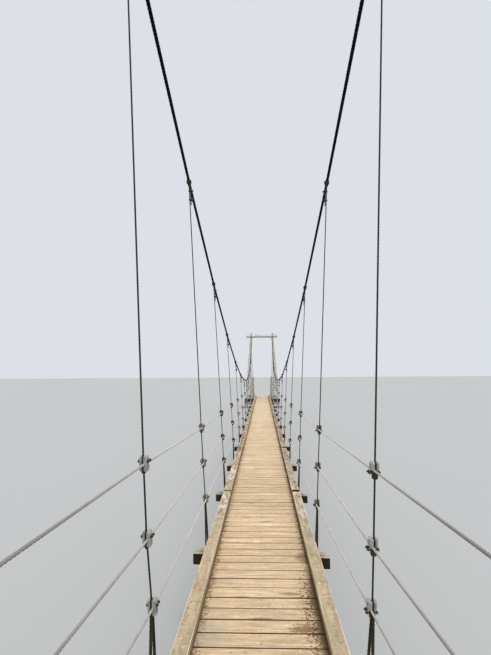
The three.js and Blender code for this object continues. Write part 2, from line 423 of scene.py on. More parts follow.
# Crumbs of dirt along the kerbs, stains, and boards scuffed near both towers.
def soilBoards(colour, spot, streaks, look):
    crumbs = patternOf(spot, "crumbs")
    smear = mapped(crumbs, "crumbs", -look["crumbReach"], look["crumbReach"])
    reach = calc("ADD", axisOf(spot, "X"), smear)
    for fade, layer in look["footDirt"]:
        colour = overlay(colour, reach, fade, layer)
    for x, y, sizeX, sizeY, strength, crumbled, drawn, stainColour in look["stains"]:
        local = put(spot, "Mapping", {
            "Vector": spot, "Location": (-x / sizeX, -y / sizeY, 0),
            "Scale": (1 / sizeX, 1 / sizeY, 0),
        }).outputs[0]
        distance = put(spot, "VectorMath", {0: local}, operation="LENGTH").outputs["Value"]
        for pattern, uneven in ((crumbs, crumbled), (streaks, drawn)):
            distance = calc("ADD", distance, mapped(pattern, "broad", -uneven, uneven))
        colour = overlay(colour, distance, "stains", (strength, stainColour), falling)
    return overlay(colour, fromMiddle(spot, "Y"), *look["scuffed"])


# By the way a face points: a pale band on the eased upper edges, part wear and part painted
# highlight; painted shade on the sides, which on the boards darkens the gaps; dark end grain, which
# in the kerb joints also stands for painted shade.
def shadeFaces(colour, look):
    normal = put(colour, "NewGeometry").outputs["Normal"]
    upward = axisOf(normal, "Z")
    if "worn" in look:
        share, wornHighlightColour = look["worn"]
        worn = ramp(upward, "worn", grey(0), grey(share), grey(share), grey(0))
        colour = cover(colour, worn, wornHighlightColour)
    colour = overlay(colour, upward, look.get("sideFade", "sides"), look["sides"], falling)
    if "ends" in look:
        colour = overlay(colour, fromMiddle(normal, "Y"), "ends", look["ends"])
    return colour


# Dark soil and painted shade in the corner at the inner foot of a kerb, painted darker on the right
# side of the bridge, where the inner face turns away from the light.
def soilAndShadeKerbFoot(colour, spot, look):
    soil = falling(axisOf(spot, "Z"), *look["footSoilAndShade"])
    share = calc("MULTIPLY", soil, falling(fromMiddle(spot, "X"), "insideKerb"))
    across = rising(axisOf(spot, "X"), look["soilSpan"])
    return cover(colour, share, ramp(across, "soil", *look["soilAndShadeColours"]))


def paintTimber(spot, look):
    grain = put(spot, "Attribute", attribute_name="grain").outputs["Vector"]
    streaks = patternOf(grain, "streaks", look.get("streaks"))
    blotches = patternOf(grain, "blotches", scale=look.get("blotchScale"))
    stretched = put(grain, "Mapping", {"Vector": grain, "Scale": (0.11, 1, 1)}).outputs[0]
    rings = put(grain, "TexWave", {
        "Vector": stretched, "Scale": look["ringScale"],
        "Distortion": 5.0, "Detail": 3.0, "Detail Scale": 1.4,
    }, wave_type="RINGS", rings_direction="X").outputs["Fac"]
    colour = sawnWood(grain, look, streaks, blotches, rings)
    colour = weatherWood(colour, grain, spot, look)
    if "footDirt" in look:
        colour = soilBoards(colour, spot, streaks, look)
    if "sides" in look:
        colour = shadeFaces(colour, look)
    if "footSoilAndShade" in look:
        colour = soilAndShadeKerbFoot(colour, spot, look)
    return colour, calc("ADD", patternOf(grain, "fibres"), rings), blotches


def paintRope(spot, look):
    tarnish = patternOf(spot, "tarnish")
    colour = ramp(readTone(spot), "strands", look["between"], look["strand"])
    colour = darken(colour, tarnish, "tarnish", look["tarnish"])
    if "grime" in look:
        colour = overlay(colour, fromMiddle(spot, "Y"), *look["grime"])
    return colour, patternOf(spot, "wires"), tarnish


def paintSteel(spot, look):
    flakes = put(spot, "TexVoronoi", {"Vector": spot, "Scale": 90.0}).outputs["Color"]
    colour = ramp(axisOf(flakes, "X"), "flakes", look["dark"], look["pale"])
    # the tone darkens a fitting: tarnish, and on the clamps also painted shade
    if "agedAndShaded" in look:
        colour = darken(colour, readTone(spot), "tone", look["agedAndShaded"])
    rust = patternOf(spot, "rust")
    colour = overlay(colour, rust, "rust", look["rust"])
    return colour, rust, rust


def paintConcrete(spot, look):
    clouds, grit = patternOf(spot, "clouds"), patternOf(spot, "grit")
    colour = ramp(clouds, "concrete", look["dark"], look["pale"])
    share, shade = look["grit"]
    colour = darken(colour, grit, "grit", grey(shade), share)
    rise = calc("ADD", axisOf(spot, "Z"), mapped(clouds, "broad", *look["dampEdge"]))
    colour = overlay(colour, rise, "damp", look["damp"], falling)
    pits = put(spot, "TexVoronoi", {"Vector": spot, "Scale": 34.0}).outputs["Distance"]
    return colour, calc("ADD", rising(pits, "pits"), grit), None


# Strength and depth of each relief, and how far the roughness shifts with its pattern.
reliefs = {
    paintTimber: (0.35, 0.0012, (-0.08, 0.08)), paintRope: (0.3, 0.0006, (0.12, -0.1)),
    paintSteel: (0.15, 0.001, (-0.08, 0.15)), paintConcrete: (0.4, 0.002, ()),
}


def makeFinish(name, paint, look):
    finish, shader = startFinish(name, look)
    colour, height, pattern = paint(put(shader, "TexCoord").outputs["Object"], look)
    strength, depth, shifts = reliefs[paint]
    attach(colour, shader.inputs["Base Color"])
    if shifts:
        roughness = (look["roughness"] + shift for shift in shifts)
        attach(mapped(pattern, "broad", *roughness), shader.inputs["Roughness"])
    bump = put(shader, "Bump", {"Height": height, "Strength": strength, "Distance": depth})
    attach(bump.outputs["Normal"], shader.inputs["Normal"])
    return finish


# In a look, a layer is (strength, colour).
dirt = (0.11, 0.058, 0.022)
boardTimber = makeFinish("bleached_boards_painted_sheen", paintTimber, dict(
    dark=(0.53, 0.365, 0.215), middle=(0.775, 0.57, 0.36), pale=(0.91, 0.7, 0.47),
    streaks=(0.8, 11, 11), blotch=(0.8, 0.77, 0.72), spread=0.13, flecks=0.18,
    ringScale=20.0, ringDepth=0.1, roughness=0.74, specular=0.1,
    knots=(0.85, (0.16, 0.09, 0.04)),
    # paler boards towards the far middle of the span, part bleaching and part painted sheen where the
    # boards are seen at a grazing angle: places, strengths, colour
    bleachSpan=(-15, 15),
    bleachAndSheen=((0.2, 0.27, 0.42, 0.52, 0.72, 0.86), (0, 0.1, 0.1, 0.19, 0.19, 0.02),
              (0.98, 0.88, 0.66)),
    checks=(0.8, (0.22, 0.13, 0.065)), patches=(0.3, (0.42, 0.33, 0.225)),
    specks=(                    # scale, fade, layer
        (27, (0.57, 0.68), (0.32, (0.27, 0.17, 0.085))),
        (44, (0.58, 0.66), (0.45, (0.97, 0.8, 0.58))),
    ),
    footDirt=(((0.338, 0.362), (0.92, dirt)), ((-0.346, -0.362), (0.72, dirt))),
    crumbReach=0.032,
    stains=(    # x, y, size across, size along, strength, crumbled, drawn out, colour
        (0.27, -12.13, 0.12, 0.075, 0.85, 0.25, 0.6, (0.2, 0.11, 0.045)),
        (0.354, -11.78, 0.064, 0.28, 0.9, 1.3, 0.2, (0.095, 0.051, 0.02)),
        (0.356, -12.22, 0.064, 0.24, 0.9, 1.3, 0.2, (0.095, 0.051, 0.02)),
        (0.338, -11.07, 0.06, 0.12, 0.6, 0.6, 0.3, (0.12, 0.065, 0.028)),
        (0.21, -11.7, 0.1, 0.03, 0.65, 0.2, 0.5, (0.2, 0.12, 0.055)),
        (0.01, -12.03, 0.07, 0.018, 0.7, 0.2, 0.4, (0.2, 0.12, 0.055)),
        (-0.31, -12.22, 0.15, 0.17, 0.45, 0.2, 0.6, (0.4, 0.36, 0.28)),
    ),
    scuffed=((10.3, 12.9), (0.13, (0.36, 0.25, 0.14))),
    # painted shade: the sides and eased edges of the boards go dark brown, so the gaps between them
    # read as shaded, with some dirt
    sides=(0.96, (0.07, 0.036, 0.012)), sideFade=(0.86, 0.97),
))
kerbTimber = makeFinish("mottled_kerb_timber", paintTimber, dict(
    dark=(0.39, 0.288, 0.181), middle=(0.524, 0.404, 0.265), pale=(0.657, 0.53, 0.373),
    streaks=(1.4, 13, 13), blotch=(0.8, 0.77, 0.74), blotchScale=3.4, spread=0.06,
    ringScale=10.0, ringDepth=0.05, flecks=0.14, roughness=0.84, specular=0.04,
    knots=(0.7, (0.16, 0.11, 0.06)),
    checks=(0.35, (0.2, 0.14, 0.08)), patches=(0.75, (0.41, 0.36, 0.2)),
    specks=(
        (24, (0.54, 0.64), (0.6, (0.21, 0.18, 0.115))),
        (37, (0.57, 0.66), (0.5, (0.76, 0.67, 0.54))),
    ),
    weathering=(                # scale of the clouds, fade along the span, layer
        (16, (-11.2, -10.2), (0.62, (0.72, 0.62, 0.53))),
        (18, (-7.9, -6.2), (0.78, (0.16, 0.1, 0.07))),
        (34, (-11.2, -10.2), (0.56, (0.14, 0.09, 0.06))),
    ),
    # a pale band on the eased edges, part wear and part painted highlight; dark end grain, also
    # painted shade inside the joints
    worn=(0.9, (0.86, 0.73, 0.56)), ends=(0.98, (0.022, 0.013, 0.006)),
    sides=(0.35, (0.5, 0.39, 0.26)), sideFade=(0.1, 0.35),
    # dark soil and painted shade at the inner foot: height band and strength, then one colour for
    # each side
    footSoilAndShade=((0.728, 0.764), 0.97), soilSpan=(-0.4, 0.4),
    soilAndShadeColours=((0.2, 0.135, 0.065), (0.085, 0.05, 0.022)),
))
towerLook = dict(
    dark=(0.52, 0.45, 0.39), middle=(0.7, 0.635, 0.565), pale=(0.84, 0.79, 0.73),
    blotch=(0.82, 0.81, 0.8), spread=0.1, flecks=0.12, ringScale=18.0,
    ringDepth=0.12, roughness=0.84, specular=0.3,
    knots=(0.7, (0.26, 0.19, 0.13)), checks=(0.45, (0.25, 0.19, 0.14)),
)
towerTimber = makeFinish("pale_weathered_timber", paintTimber, towerLook)
# pale crossbeams, their lower part darkened by the tone as painted shade
beamTimber = makeFinish("pale_beam_timber_painted_shade", paintTimber, dict(
    towerLook, spread=0.88,
    dark=(0.74, 0.7, 0.65), middle=(0.88, 0.85, 0.81), pale=(0.95, 0.93, 0.9),
))
underTimber = makeFinish("bearer_timber", paintTimber, dict(
    dark=(0.17, 0.135, 0.09), middle=(0.41, 0.35, 0.27), pale=(0.76, 0.72, 0.64),
    blotch=(0.62, 0.58, 0.52), blotchScale=6.0, spread=0.12, flecks=0.2,
    ringScale=20.0, ringDepth=0.15, roughness=0.88, specular=0.08,
    # painted shade, with some damp: all but the top faces of the bearers, joists and sills go nearly
    # black
    knots=(0.7, (0.16, 0.1, 0.06)), sides=(0.96, (0.02, 0.013, 0.005)),
    paleEnds=((0.525, 0.54), (0.22, (0.8, 0.7, 0.58))),
))
blackRope = makeFinish("greased_black_rope", paintRope, dict(
    strand=(0.002, 0.005, 0.011), between=(0.001, 0.002, 0.004), tarnish=(0.6, 0.6, 0.6),
    roughness=0.75, specular=0.12,
))
railRope = makeFinish("galvanised_rail_rope", paintRope, dict(
    strand=(0.8, 0.78, 0.71), between=(0.42, 0.4, 0.35), tarnish=(0.8, 0.77, 0.72),
    roughness=0.5, specular=0.5,
    grime=((12.3, 13.9), (0.85, (0.22, 0.2, 0.16))),        # near both towers
))
hangerRope = makeFinish("tarnished_hanger_rope", paintRope, dict(
    strand=(0.055, 0.056, 0.052), between=(0.016, 0.016, 0.015),
    tarnish=(0.66, 0.62, 0.56), roughness=0.65, specular=0.25,
))
slingRope = makeFinish("dark_sling_rope", paintRope, dict(
    strand=(0.08, 0.07, 0.05), between=(0.022, 0.018, 0.012),
    tarnish=(0.62, 0.54, 0.46), roughness=0.75, specular=0.2,
))
paleSteel = makeFinish("galvanised_fittings", paintSteel, dict(
    dark=(0.4, 0.41, 0.4), pale=(0.62, 0.62, 0.6), rust=(0.45, (0.2, 0.13, 0.08)),
    metallic=0.6, roughness=0.46,
))
clampSteel = makeFinish("dull_clamp_castings", paintSteel, dict(
    # the darkest tone of a clamp, part tarnish and part painted shade
    dark=(0.25, 0.245, 0.225), pale=(0.43, 0.42, 0.39), agedAndShaded=(0.16, 0.13, 0.1),
    rust=(0.5, (0.12, 0.09, 0.06)), metallic=0.25, roughness=0.55,
))
darkSteel = makeFinish("dull_bolts", paintSteel, dict(
    dark=(0.024, 0.021, 0.018), pale=(0.066, 0.06, 0.052),
    rust=(0.7, (0.04, 0.022, 0.011)), metallic=0.4, roughness=0.55,
))
castConcrete = makeFinish("cast_concrete", paintConcrete, dict(
    dark=(0.36, 0.34, 0.3), pale=(0.52, 0.5, 0.46), roughness=0.9,
    grit=(0.6, 0.72),        # share and shade
    damp=(0.55, (0.2, 0.19, 0.15)), dampEdge=(-0.05, 0.08),
))
print("finishes made")

# Cross bearers under the deck, some of them set a little askew.
bearer = dict(
    length=1.156, width=0.14, depth=0.089, faces=(0.004, 7, 0.0005),
    clearance=0.0005, drift=0.004, skewDrift=0.008,
    moved={1: (0.035, -0.068), 2: (0.05, -0.06), 3: (-0.045, 0.0)},
)


def bearerAt(n, x):
    y, skew = bearers[n]
    return y + skew * x


bearers = []
for n, y in enumerate(stations):
    drifted = dice.normal(0, bearer["drift"]), dice.normal(0, bearer["skewDrift"])
    shift, skew = bearer["moved"].get(n, drifted)
    bearers.append((y + shift, skew))
for y, skew in bearers:
    height = boardBottom - bearer["depth"] / 2 - bearer["clearance"]
    addMember("cross_bearers", stickOf(bearer), (0, y, height), along=(1, skew, 0))
names = [f"transom_{n:02d}" for n in range(1, layout["bays"])]
makePiece("cross_bearers", underTimber, names)
print("bearers laid")

# Walkway boards, nailed down, and the joists under them.
board = dict(
    length=0.912, gap=0.0078, depth=0.0375, pitch=0.1461,
    faces=(0.0036, 5, 0.0002), firstCut=0.105, lastCut=0.05, sections=5,
    cutDrift=0.002, widthDrift=0.002, cup=0.0005, lift=0.0006, skew=0.0016,
    tilt=0.0006, endWander=0.0022,
)
joist = dict(width=0.038, depth=0.089, faces=(0.003, 4, 0.0003), at=(-0.33, 0, 0.33))
nail = dict(
    outline=((-0.001, 0.0036), (0.0003, 0.0036), (0.0006, 0.00198)), fromEdge=0.032,
    driftAcross=0.006, driftAlong=0.004,
)
# the first and the last board are ripped narrower to fill the length
cuts = np.arange(board["firstCut"] - deckEnd, deckEnd - board["lastCut"], board["pitch"])
cuts[1:-1] += dice.normal(0, board["cutDrift"], len(cuts) - 2)
cuts = [-deckEnd, *cuts, deckEnd]
for start, end in zip(cuts, cuts[1:]):
    y = (start + end) / 2
    section = 1 + int(np.clip((y / span + 0.5) * board["sections"], 0, board["sections"] - 1))
    width = end - start - board["gap"] + dice.uniform(-board["widthDrift"], board["widthDrift"])
    form = stickOf(board, width=width)
    form[0][:, 2] += dice.normal(0, board["cup"]) * (1 - (2 * form[0][:, 1] / width) ** 2)
    height = boardBottom + board["depth"] / 2 + dice.normal(0, board["lift"])
    centre = (dice.normal(0, board["endWander"]), y, height)
    skew = dice.normal(0, board["skew"])
    addMember(f"deck_boards_{section}", form, centre, along=(1, skew, dice.normal(0, board["tilt"])))
    for x in joist["at"]:
        for toward in (-1, 1):
            nailX = x + dice.uniform(-nail["driftAcross"], nail["driftAcross"])
            nailY = y + toward * (width / 2 - nail["fromEdge"])
            nailY += dice.uniform(-nail["driftAlong"], nail["driftAlong"]) + skew * nailX
            seat = (nailX, nailY, height + board["depth"] / 2)
            addPlaced("deck_nails", turned(nail["outline"], around=8), seat, **upright)

halfBearer = bearer["width"] / 2 + bearer["clearance"]
for n in range(layout["bays"]):
    for x in joist["at"]:
        start = -deckEnd if n == 0 else bearerAt(n - 1, x) + halfBearer
        end = deckEnd if n == layout["bays"] - 1 else bearerAt(n, x) - halfBearer
        centre = (x, (start + end) / 2, boardBottom - joist["depth"] / 2)
        form = stickOf(joist, length=end - start)
        addMember("deck_joists", form, centre, along=(0, 1, 0))

for n in range(1, board["sections"] + 1):
    makePiece(f"deck_boards_{n}", boardTimber, (f"deck_section_{n}",))
makePiece("deck_nails", darkSteel, smoothTo=40)
makePiece("deck_joists", underTimber)
print("walkway laid:", len(cuts) - 1, "boards")

# Kerbs, laid as butted lengths that each take up a little more than their width.
kerb = dict(
    width=0.0875, depth=0.0875, faces=(0.005, 12, 0.0009), takes=0.089,
    inner=0.368, pitch=3.285, firstJoint=-13.1, nextJoint=-9.225, more=8,
    jointGap=dict(left=0.036, right=0.074),
    jointDrift=0.004, outDrift=0.0015, skewDrift=0.0004,
)
for side, across in sides:
    name = f"kerb_lengths_{side}"
    gap = kerb["jointGap"][side]
    joints = [
        kerb["nextJoint"] + kerb["pitch"] * n + dice.normal(0, kerb["jointDrift"])
        for n in range(kerb["more"])
    ]
    joints = [-deckEnd - gap / 2, kerb["firstJoint"], *joints, deckEnd + gap / 2]
    for start, end in zip(joints, joints[1:]):
        form = stickOf(kerb, length=end - start - gap)
        x = across * (kerb["inner"] + kerb["takes"] / 2) + dice.normal(0, kerb["outDrift"])
        centre = (x, (start + end) / 2, deckTop + kerb["takes"] / 2)
        addMember(name, form, centre, along=(dice.normal(0, kerb["skewDrift"]), 1, 0))
    makePiece(name, kerbTimber, (f"kerb_{side}",))
print("kerbs laid")

# Towers, sills and rail posts. Sizes are length, width and depth.
tower = dict(
    beam=(1.95, 0.19, 0.2), beamFaces=(0.006, 9, 0.0008),
    # the crossbeam's tone rises from its foot to its top, so that its lower part takes painted shade
    beamShades=(-0.35, 2.0),     # tone at the foot and at the top of a crossbeam
    sill=(2.2, 0.14, 0.19), sillTop=0.573, clearance=0.002,
    leg=0.15, legFoot=1.02, legFaces=(0.006, 14, 0.0007), footing=0.15,
    post=0.14, postOut=0.57, postTop=1.95, postFaces=(0.009, 9, 0.0006),
    saddleRise=0.075, boltUp=0.045,
)
# each part of a nut on its stud: its outline and its number of sides
stud = dict(
    washer=(((-0.002, 0.027), (0.003, 0.027), (0.004, 0.026)), 20),
    nut=(((0.003, 0.0152), (0.006, 0.0175), (0.015, 0.0175), (0.018, 0.0152)), 6),
    rod=(((0.012, 0.0095), (0.026, 0.0095), (0.028, 0.0075)), 12),
)


# A washer, a nut and the end of its rod, standing on a face.
def addNut(at, along, size=1.0):
    up = (0, 1, 0) if along[2] else (0, 0, 1)
    for outline, around in stud.values():
        form = turned([(x * size, r * size) for x, r in outline], around, dice.uniform(0, 1))
        addPlaced("nuts_and_washers", form, at, along, up)


# Nuts at the corners of a plate, as far from its middle as the spread says.
def addCornerNuts(middle, along, spread, size):
    for first in (-1, 1):
        for second in (-1, 1):
            corner = (first * spread[0], second * spread[1], second * spread[2])
            addNut(np.add(middle, corner), along, size)


def saddleOut(end):
    return hangerOut(beamTops[end] + tower["saddleRise"])


# A squared timber as a piece of its own, in place of its solid.
def makeTimber(kind, solid, where, finish, size, faces, centre, shades=None, **lie):
    length, width, depth = size
    form = stick(length, width - tower["clearance"], depth - tower["clearance"], *faces)
    # a tone along the height; on the crossbeams it paints shade towards the foot
    if shades:
        lie["shade"] = np.interp(form[0][:, 2], (-depth / 2, depth / 2), shades)
    name = f"{kind}_{where}"
    addMember(name, form, centre, **lie)
    makePiece(name, finish, (f"{solid}_{where}",))


leg, post = tower["leg"], tower["post"]
for end, toward in ends:
    towerY = toward * towerAt
    beamTop, beamDepth = beamTops[end], tower["beam"][2]
    makeTimber("crossbeam_timber", "crossbeam", end, beamTimber, tower["beam"],
               tower["beamFaces"], (0, towerY, beamTop - beamDepth / 2), tower["beamShades"])
    sillWidth, sillDepth = tower["sill"][1:]
    sillY = towerY - toward * (leg / 2 + sillWidth / 2)
    sillMiddle = tower["sillTop"] - sillDepth / 2
    makeTimber("sill_timber", "sill_beam", end, underTimber, tower["sill"],
               tower["beamFaces"], (0, sillY, sillMiddle))
    for side, across in sides:
        rise = beamTop - beamDepth - tower["footing"]
        legMiddle = tower["footing"] + rise / 2
        x = across * (tower["legFoot"] + saddleOut(end)) / 2
        lean = across * (saddleOut(end) - tower["legFoot"]) / rise
        makeTimber("leg_timber", "tower_leg", f"{end}_{side}", towerTimber,
                   (rise, leg, leg), tower["legFaces"], (x, towerY, legMiddle), lean=lean,
                   **upright)
        postX = across * tower["postOut"]
        postY = towerY + toward * (post - leg) / 2
        makeTimber("post_timber", "rail_post", f"{end}_{side}", towerTimber,
                   (tower["postTop"], post, post), tower["postFaces"],
                   (postX, postY, tower["postTop"] / 2), **upright)
        # bolts through leg and sill, and through post and sill
        legX = x + lean * (sillMiddle - legMiddle)
        for boltX, face in ((legX, leg / 2), (postX, post - leg / 2)):
            for dz in (-tower["boltUp"], tower["boltUp"]):
                z = sillMiddle + dz
                addNut((boltX, towerY + toward * face, z), (0, toward, 0))
                addNut((boltX, sillY - toward * sillWidth / 2, z), (0, -toward, 0))
print("towers raised")

# Saddles on the crossbeams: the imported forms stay, on bolted plates.
saddlePlate = dict(
    length=0.18, width=0.16, depth=0.008, faces=(0.002, 2), sunk=0.001,
    nutSpread=(0.06, 0.066, 0), nutSize=0.8,
)
for end, toward in ends:
    for side, across in sides:
        x, y = across * saddleOut(end), toward * towerAt
        top, thickness = beamTops[end], saddlePlate["depth"]
        middle = top + thickness / 2 - saddlePlate["sunk"]
        addPlaced("saddle_plates", stickOf(saddlePlate), (x, y, middle), along=(0, 1, 0))
        addCornerNuts((x, y, top + thickness), (0, 0, 1), saddlePlate["nutSpread"],
                      saddlePlate["nutSize"])
        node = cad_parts[f"saddle_{end}_{side}"]
        node.data.materials.clear()
        node.data.materials.append(paleSteel)
makePiece("saddle_plates", paleSteel)

# Footings and anchor blocks.
footing = dict(length=0.45, width=0.45, depth=0.15, faces=(0.018, 6, 0.0008))
anchor = dict(
    length=0.9, width=0.7, depth=0.6, faces=(0.03, 8, 0.001),
    front=18.6, out=0.83, entryHeight=0.38, entryDepth=0.22,
)


# A cast block with a level top and bottom, in place of its solid.
def makeBlock(kind, solid, where, block, x, y, along=(1, 0, 0)):
    half = block["depth"] / 2
    form = stickOf(block)
    form[0][:, 2] = np.clip(form[0][:, 2], -half, half)
    name = f"{kind}_{where}"
    addPlaced(name, form, (x, y, half), along)
    makePiece(name, castConcrete, (f"{solid}_{where}",))


for end, toward in ends:
    for side, across in sides:
        makeBlock("footing_block", "footing", f"{end}_{side}", footing,
                  across * tower["legFoot"], toward * towerAt)
        blockY = toward * (anchor["front"] + anchor["length"] / 2)
        makeBlock("anchor_cast", "anchor_block", f"{end}_{side}", anchor,
                  across * anchor["out"], blockY, along=(0, 1, 0))
print("concrete cast")

# Main cables, from anchor to anchor over the saddles, with a bolted collar at each block.
mainCable = dict(
    diameter=0.0262, lay=0.16, step=0.02, groove=0.9, saddleBend=0.12, arcSteps=14,
)
collar = dict(
    length=0.2, width=0.2, depth=0.012, faces=(0.003, 2), forward=0.005,
    sleeve=((-0.02, 0.026), (0.07, 0.026), (0.078, 0.023), (0.08, 0.0135)),
    nutSpread=(0.072, 0, 0.072), nutForward=0.011, nutSize=0.8,
)


# from the last hanger over the saddle and down into the anchor block
def cableTail(end, toward):
    top, bend, depth = beamTops[end], mainCable["saddleBend"], anchor["entryDepth"]
    drop, run = top - anchor["entryHeight"], anchor["front"] - span / 2
    lastHanger = toward * (span / 2 - layout["bay"])
    toSpan = math.atan2(top - cableHeight(lastHanger), layout["bay"])
    angles = np.linspace(-toSpan, math.atan2(drop, run), mainCable["arcSteps"])
    y = toward * (towerAt + bend * np.sin(angles))
    z = top + tower["saddleRise"] - bend + bend * np.cos(angles)
    hold = (anchor["out"], toward * (anchor["front"] + depth),
            anchor["entryHeight"] - drop / run * depth)
    return [*((saddleOut(end), a, b) for a, b in zip(y, z)), hold]


middle = [(hangerOut(cableHeight(y)), y, cableHeight(y)) for y in stations]
mainRoute = [*cableTail("near", -1)[::-1], *middle, *cableTail("far", 1)]
for side, across in sides:
    name = f"main_rope_{side}"
    addRope(name, np.array(mainRoute) * (across, 1, 1), mainCable)
    makePiece(name, blackRope, (f"main_cable_{side}",), smoothTo=180)
    for end, toward in ends:
        mouth = np.array((across * anchor["out"], toward * anchor["front"], anchor["entryHeight"]))
        plateAt = mouth - (0, toward * collar["forward"], 0)
        addPlaced("anchor_collars", stickOf(collar), plateAt, up=(0, -toward, 0))
        runUp = np.array(cableTail(end, toward)[-2]) * (across, 1, 1) - mouth
        sleeve = turned(collar["sleeve"], around=24)
        addPlaced("anchor_collars", sleeve, mouth, along=runUp, up=(1, 0, 0))
        addCornerNuts(mouth - (0, toward * collar["nutForward"], 0), (0, -toward, 0),
                      collar["nutSpread"], collar["nutSize"])
makePiece("anchor_collars", paleSteel, smoothTo=35)
print("main cables hung")

# Clips on doubled ropes. A plate or rib is a stick's measures, an outline (along, radius).
clip = dict(
    plate=(0.03, 0.034, 0.008, 0.0025, 2), rib=(0.027, 0.013, 0.004, 0.0015, 2),
    face=-0.015, ribOut=0.001, rod=0.003, bend=0.0095, rodOut=0.014,
    nut=((-0.001, 0.0062), (0.0055, 0.0066), (0.007, 0.0055)),
)
# Clamps where a rail rope crosses a hanger, measured up the hanger from there. The end of a
# rod and its nut are measured from the far face.
clamp = dict(
    width=0.046, inner=0.018, outer=0.011, toHanger=0.0042, faces=(0.0045, 2),
    bossShare=0.88, boss=(0.02, 0.006, 0.0025, 2), keeperShare=1.1,
    keeperFaces=(0.004, 2), boltAcross=0.015,
    head=((-0.0005, 0.0074), (0.005, 0.0077), (0.0062, 0.0062)),
    rod=0.0044, rodEnd=((0.011, 0.0044), (0.012, 0.003)),
    nut=((-0.0005, 0.0074), (0.006, 0.0078), (0.0074, 0.0064)),
    left=dict(rise=0.001, height=0.068, bolts=0.013, keeper=-0.036, size=0.017),
    right=dict(rise=0.017, height=0.038, bolts=-0.01, keeper=-0.028, size=0.024),
    # tone of each clamp: the nearest are lit and clean, the rest darkened, part tarnish and part
    # painted shade
    litAndClean={("left", 1): (0.5, 0.8)}, dull=(0.0, 0.35),      # the nearest of all are at 1
)


# A casting that takes the rail rope, one beyond the hanger, bolts and a keeper.
def addClamp(at, upward, outward, look, litAndClean):
    upward, outward = unit(upward), unit(outward)
    across = unit(np.cross(upward, outward))
    toHanger, height, size = clamp["toHanger"], look["height"], look["size"]
    for thickness, away in ((clamp["outer"], outward), (clamp["inner"], -outward)):
        middle = at + away * (toHanger + thickness / 2) + upward * look["rise"]
        plate = stick(height, clamp["width"], thickness, *clamp["faces"])
        addPlaced("clamp_plates", plate, middle, upward, outward, litAndClean)
        boss = stick(height * clamp["bossShare"], *clamp["boss"])
        addPlaced("clamp_plates", boss, middle + away * thickness / 2, upward, outward, litAndClean)
    deep = size * clamp["keeperShare"]
    keeper = stick(deep, size, deep, *clamp["keeperFaces"])
    addPlaced("clip_bolts", keeper, at + upward * look["keeper"], upward, outward)
    through = clamp["inner"] + clamp["outer"] + 2 * toHanger
    rod = [(0.0, clamp["rod"])] + [(through + x, radius) for x, radius in clamp["rodEnd"]]
    nut = [(through + x, radius) for x, radius in clamp["nut"]]
    for turn in (-clamp["boltAcross"], clamp["boltAcross"]):
        seat = at + outward * (toHanger + clamp["outer"]) + upward * look["bolts"] + across * turn
        parts = ((clamp["head"], 6, outward), (rod, 8, -outward), (nut, 6, -outward))
        for outline, around, away in parts:
            form = turned(outline, around, dice.uniform(0, 1))
            addPlaced("clip_bolts", form, seat, away, upward)


# The rope in the bend is at the given place, the others beside it towards the plate.
def addClip(name, at, ropeAlong, outward):
    ropeAlong, outward = unit(ropeAlong), unit(outward)
    across = np.cross(ropeAlong, outward)
    face, bend, thickness = clip["face"], clip["bend"], clip["plate"][2]
    for part, out in (("plate", thickness / 2), ("rib", thickness + clip["ribOut"])):
        addPlaced(name, stick(*clip[part]), at + outward * (face - out), ropeAlong, outward)
    back = face - thickness - clip["rodOut"]
    turns = np.linspace(-math.pi / 2, math.pi / 2, 8)
    arc = [(bend * math.cos(t), bend * math.sin(t)) for t in turns]
    route = [(back, -bend)] + arc + [(back, bend)]
    route = [at + outward * u + across * v for u, v in route]
    addToPile("clip_bolts", sweep(route, [clip["rod"]] * 8))
    for v in (-bend, bend):
        seat = at + outward * (face - thickness) + across * v
        addPlaced("clip_bolts", turned(clip["nut"], 6, dice.uniform(0, 1)), seat, -outward, ropeAlong)


# An eye in a rope, as (sideways, along): tail first, round the eye, then the standing part.
def eyeRoute(rope, tail):
    radius, beside = rope["eye"], rope["beside"]
    into, past = rope["gather"]
    arc = [(radius * math.cos(t), -radius * math.sin(t)) for t in np.linspace(0, math.pi, 13)]
    return [(beside, tail), (beside, past), (beside, into), *arc, (0.0, into), (0.0, past)]


# Hangers: an eye over the main cable, down to the low rail, and a sling round the bearer.
hanger = dict(
    diameter=0.0092, lay=0.095, step=0.012, eye=0.0205, beside=0.01,
    gather=(0.045, 0.075), clips=(0.085, 0.168), tail=0.215, tailDrift=(-0.01, 0.02),
    below=0.055, bend=0.018,
    sleeve=((-0.036, 0.0138), (-0.032, 0.0158), (0.032, 0.0158), (0.036, 0.0138)),
    # where the ropes of the nearest hangers cross out of line, as (X, Z) for each rail
    offLine={
        ("left", 0): ((-0.009, 0), (-0.007, 0), (0.006, 0.003)),
        ("left", 1): ((0, -0.008), (0, 0.01), (0.006, 0)),
        ("right", 0): ((0.013, -0.027), (0.014, -0.027), (0.015, 0.005)),
        ("right", 1): ((0, -0.025), (0, -0.024), (0, -0.042)),
        ("right", 2): ((0, -0.012), (0, -0.016), (0, -0.024)),
        ("right", 3): ((0, -0.006), (0, -0.008), (0, -0.012)),
    },
    topMoved={("left", 1): -0.045, ("left", 2): -0.13, ("left", 3): -0.14},
)
sling = dict(
    diameter=0.015, lay=0.12, step=0.015, footOut=0.4668, apart=0.013,
    down=0.03, tops=(0.03, 0.028), tuck=0.002, bend=0.02,
)


# where the rail ropes cross a hanger
def crossingsAt(side, across, n):
    points = []
    moves = hanger["offLine"].get((side, n), ((0, 0),) * 3)
    for rail, (moveX, moveZ) in zip(layout["rails"], moves):
        z = railHeight(rail, stations[n])
        points.append(np.array((across * hangerOut(z) + moveX, stations[n], z + moveZ)))
    return points


